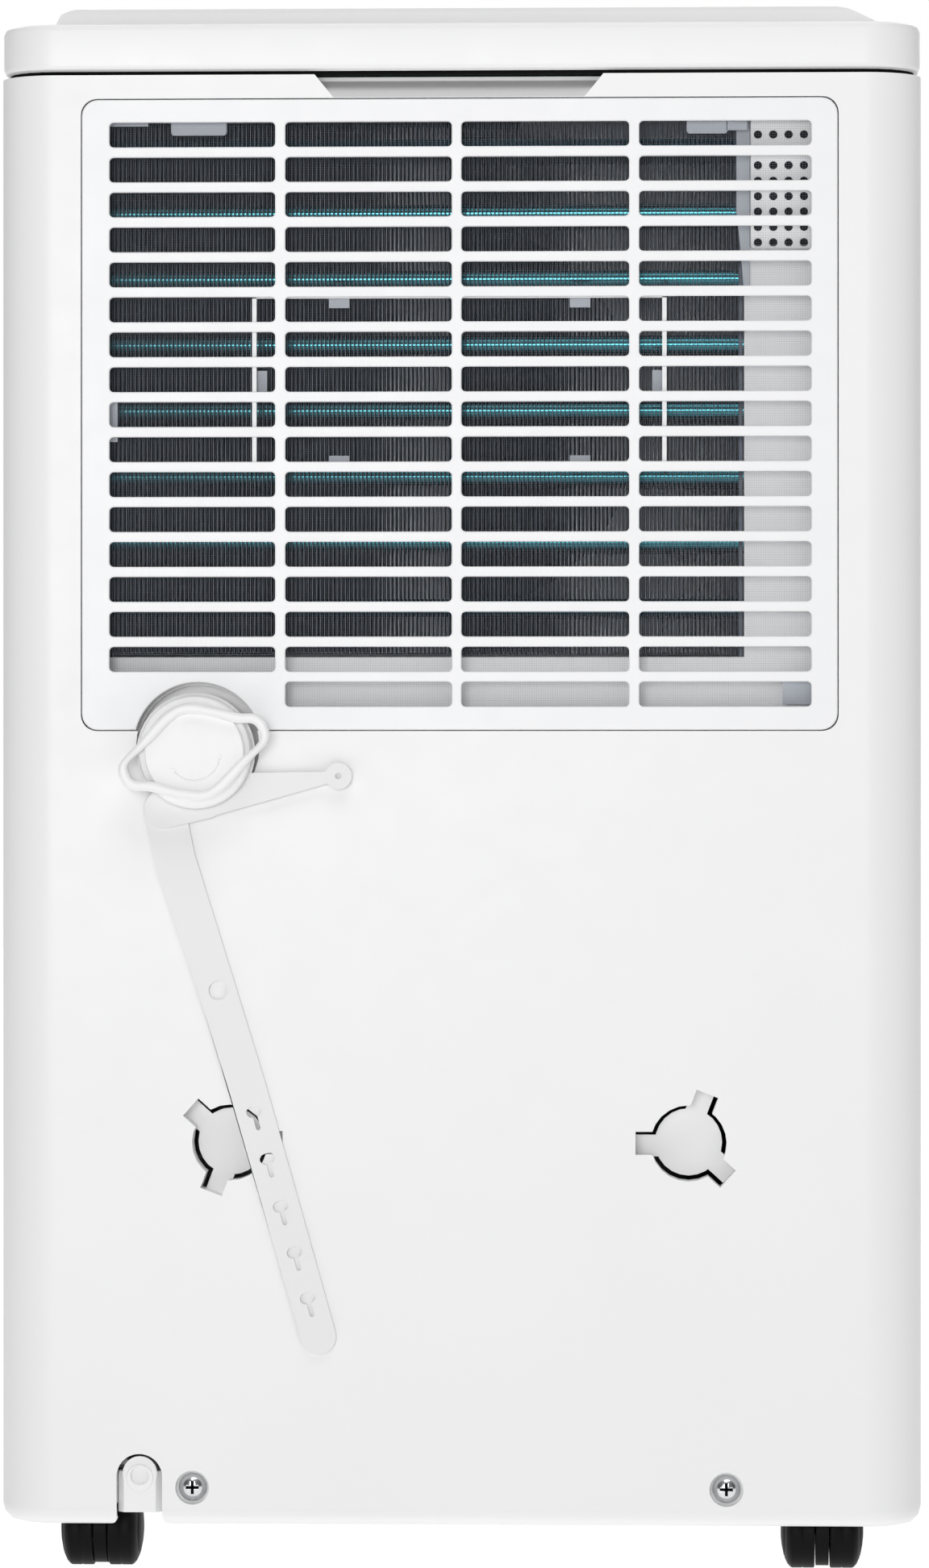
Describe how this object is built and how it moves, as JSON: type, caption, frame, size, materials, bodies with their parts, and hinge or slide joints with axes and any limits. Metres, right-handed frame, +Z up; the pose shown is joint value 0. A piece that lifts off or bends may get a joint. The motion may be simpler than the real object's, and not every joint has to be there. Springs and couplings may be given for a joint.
{
  "type": "dehumidifier",
  "caption": "Upright white compressor dehumidifier on casters: rear intake filter panel, twist-off drain cap, keyhole cord strap, top air outlet and a pull-out front water bucket.",
  "frame": {"origin": "on the floor, under the middle of the object's bounding box", "axes": "+Z up; -Y towards the rear with the filter panel and drain port; +Y towards the water bucket; +X to the right when the rear is looked at"},
  "size_m": [0.36, 0.284, 0.617],
  "materials": {
    "cabinet_white": "satin white moulded plastic",
    "grille_white": "satin cool white",
    "inner_white": "matte",
    "natural_pp": "milky translucent polypropylene",
    "smoked_panel": "gloss smoked",
    "clear_window": "clear polycarbonate",
    "black_plastic": "satin black nylon",
    "foam_black": "matte foam",
    "seal_rubber": "matte rubber",
    "mesh_dark": "woven nylon netting, thin grey threads",
    "fin_blue": "blue hydrophilic coated fins",
    "fin_plain": "mill finish fins",
    "copper": "drawn copper tube",
    "steel_bright": "bright plated steel",
    "steel_painted": "black paint",
    "board_green": "circuit board"
  },
  "bodies": {
    "cabinet": {"rear_cabinet": "cabinet_white", "front_cabinet": "cabinet_white", "base_pan": "inner_white", "top_lid": "cabinet_white", "lid_gasket": "foam_black", "console": "cabinet_white", "outlet_grille": "cabinet_white", "control_fascia": "smoked_panel", "display_window": "smoked_panel", "control_board": "board_green", "evaporator_coil": "fin_blue", "condenser_coil": "fin_plain", "coil_baffle": "inner_white", "sensor_cover": "inner_white", "drain_pan": "inner_white", "drain_spout": "inner_white", "cap_tether": "natural_pp", "hook_receiver_left": "cabinet_white", "hook_receiver_right": "cabinet_white", "cord_gland": "cabinet_white", "rear_screw_left": "steel_bright", "rear_screw_right": "steel_bright", "blower_scroll": "inner_white", "fan_motor": "steel_painted", "compressor": "steel_painted", "suction_pipe": "copper", "discharge_pipe": "copper", "capillary_tube": "copper", "electrical_box": "inner_white", "bucket_bay": "inner_white", "bucket_switch": "black_plastic"},
    "filter": {"filter_panel": "grille_white", "filter_frame": "grille_white", "filter_mesh": "mesh_dark"},
    "drain_cap": {"drain_cap": "cabinet_white", "cap_seal": "seal_rubber"},
    "cord_strap": {"cord_strap": "natural_pp"},
    "blower": {"blower_wheel": "black_plastic", "blower_shaft": "steel_bright"},
    "bucket": {"bucket_tub": "natural_pp", "bucket_cover": "cabinet_white", "bucket_front": "cabinet_white", "level_window": "clear_window"},
    "bucket_handle": {"bucket_handle": "cabinet_white"},
    "bucket_float": {"bucket_float": "natural_pp"},
    "switch_lever": {"switch_lever": "inner_white"},
    "button_1": {"button_1": "cabinet_white"},
    "button_2": {"button_2": "cabinet_white"},
    "button_3": {"button_3": "cabinet_white"},
    "button_4": {"button_4": "cabinet_white"},
    "button_5": {"button_5": "cabinet_white"},
    "button_6": {"button_6": "cabinet_white"},
    "caster_rear_left": {"caster_carrier_rear_left": "black_plastic"},
    "caster_rear_left_wheels": {"caster_wheels_rear_left": "black_plastic"},
    "caster_rear_right": {"caster_carrier_rear_right": "black_plastic"},
    "caster_rear_right_wheels": {"caster_wheels_rear_right": "black_plastic"},
    "caster_front_left": {"caster_carrier_front_left": "black_plastic"},
    "caster_front_left_wheels": {"caster_wheels_front_left": "black_plastic"},
    "caster_front_right": {"caster_carrier_front_right": "black_plastic"},
    "caster_front_right_wheels": {"caster_wheels_front_right": "black_plastic"}
  },
  "joints": [
    {"name": "filter_tilt", "type": "hinge", "parent": "cabinet", "child": "filter", "pos_m": [0, -0.127, 0.3284], "axis": [1, 0, 0], "range_deg": [0, 17]},
    {"name": "drain_cap_twist", "type": "hinge", "parent": "cabinet", "child": "drain_cap", "pos_m": [-0.1022, -0.135, 0.3197], "axis": [0, -1, 0], "range_deg": [0, 90]},
    {"name": "cord_strap_swing", "type": "hinge", "parent": "cabinet", "child": "cord_strap", "pos_m": [-0.1147, -0.128, 0.2977], "axis": [0, -1, 0], "range_deg": [-20, 50]},
    {"name": "blower_spin", "type": "hinge", "parent": "cabinet", "child": "blower", "pos_m": [-0.01, 0, 0.455], "axis": [0, 1, 0], "continuous": true},
    {"name": "bucket_slide", "type": "slide", "parent": "cabinet", "child": "bucket", "axis": [0, 1, 0], "range_m": [0, 0.25]},
    {"name": "bucket_handle_lift", "type": "hinge", "parent": "bucket", "child": "bucket_handle", "pos_m": [0, 0.06, 0.223], "axis": [1, 0, 0], "range_deg": [0, 92]},
    {"name": "float_rise", "type": "hinge", "parent": "bucket", "child": "bucket_float", "pos_m": [-0.06, 0.04, 0.2], "axis": [0, 1, 0], "range_deg": [0, 12]},
    {"name": "bucket_switch_press", "type": "hinge", "parent": "cabinet", "child": "switch_lever", "pos_m": [0.07, 0.024, 0.284], "axis": [-1, 0, 0], "range_deg": [0, 5], "stiffness_Nm_per_rad": 0.02, "springref_deg": -2.86},
    {"name": "button_1_press", "type": "slide", "parent": "cabinet", "child": "button_1", "axis": [0, 0, -1], "range_m": [0, 0.001], "stiffness_N_per_m": 400, "springref_m": -0.001},
    {"name": "button_2_press", "type": "slide", "parent": "cabinet", "child": "button_2", "axis": [0, 0, -1], "range_m": [0, 0.001], "stiffness_N_per_m": 400, "springref_m": -0.001},
    {"name": "button_3_press", "type": "slide", "parent": "cabinet", "child": "button_3", "axis": [0, 0, -1], "range_m": [0, 0.001], "stiffness_N_per_m": 400, "springref_m": -0.001},
    {"name": "button_4_press", "type": "slide", "parent": "cabinet", "child": "button_4", "axis": [0, 0, -1], "range_m": [0, 0.001], "stiffness_N_per_m": 400, "springref_m": -0.001},
    {"name": "button_5_press", "type": "slide", "parent": "cabinet", "child": "button_5", "axis": [0, 0, -1], "range_m": [0, 0.001], "stiffness_N_per_m": 400, "springref_m": -0.001},
    {"name": "button_6_press", "type": "slide", "parent": "cabinet", "child": "button_6", "axis": [0, 0, -1], "range_m": [0, 0.001], "stiffness_N_per_m": 400, "springref_m": -0.001},
    {"name": "caster_rear_left_swivel", "type": "hinge", "parent": "cabinet", "child": "caster_rear_left", "pos_m": [-0.1415, -0.09, 0.04], "axis": [0, 0, 1], "continuous": true},
    {"name": "caster_rear_left_roll", "type": "hinge", "parent": "caster_rear_left", "child": "caster_rear_left_wheels", "pos_m": [-0.1415, -0.098, 0.015], "axis": [1, 0, 0], "continuous": true},
    {"name": "caster_rear_right_swivel", "type": "hinge", "parent": "cabinet", "child": "caster_rear_right", "pos_m": [0.1415, -0.09, 0.04], "axis": [0, 0, 1], "continuous": true},
    {"name": "caster_rear_right_roll", "type": "hinge", "parent": "caster_rear_right", "child": "caster_rear_right_wheels", "pos_m": [0.1415, -0.098, 0.015], "axis": [1, 0, 0], "continuous": true},
    {"name": "caster_front_left_swivel", "type": "hinge", "parent": "cabinet", "child": "caster_front_left", "pos_m": [-0.1415, 0.104, 0.04], "axis": [0, 0, 1], "continuous": true},
    {"name": "caster_front_left_roll", "type": "hinge", "parent": "caster_front_left", "child": "caster_front_left_wheels", "pos_m": [-0.1415, 0.096, 0.015], "axis": [1, 0, 0], "continuous": true},
    {"name": "caster_front_right_swivel", "type": "hinge", "parent": "cabinet", "child": "caster_front_right", "pos_m": [0.1415, 0.104, 0.04], "axis": [0, 0, 1], "continuous": true},
    {"name": "caster_front_right_roll", "type": "hinge", "parent": "caster_front_right", "child": "caster_front_right_wheels", "pos_m": [0.1415, 0.096, 0.015], "axis": [1, 0, 0], "continuous": true}
  ]
}
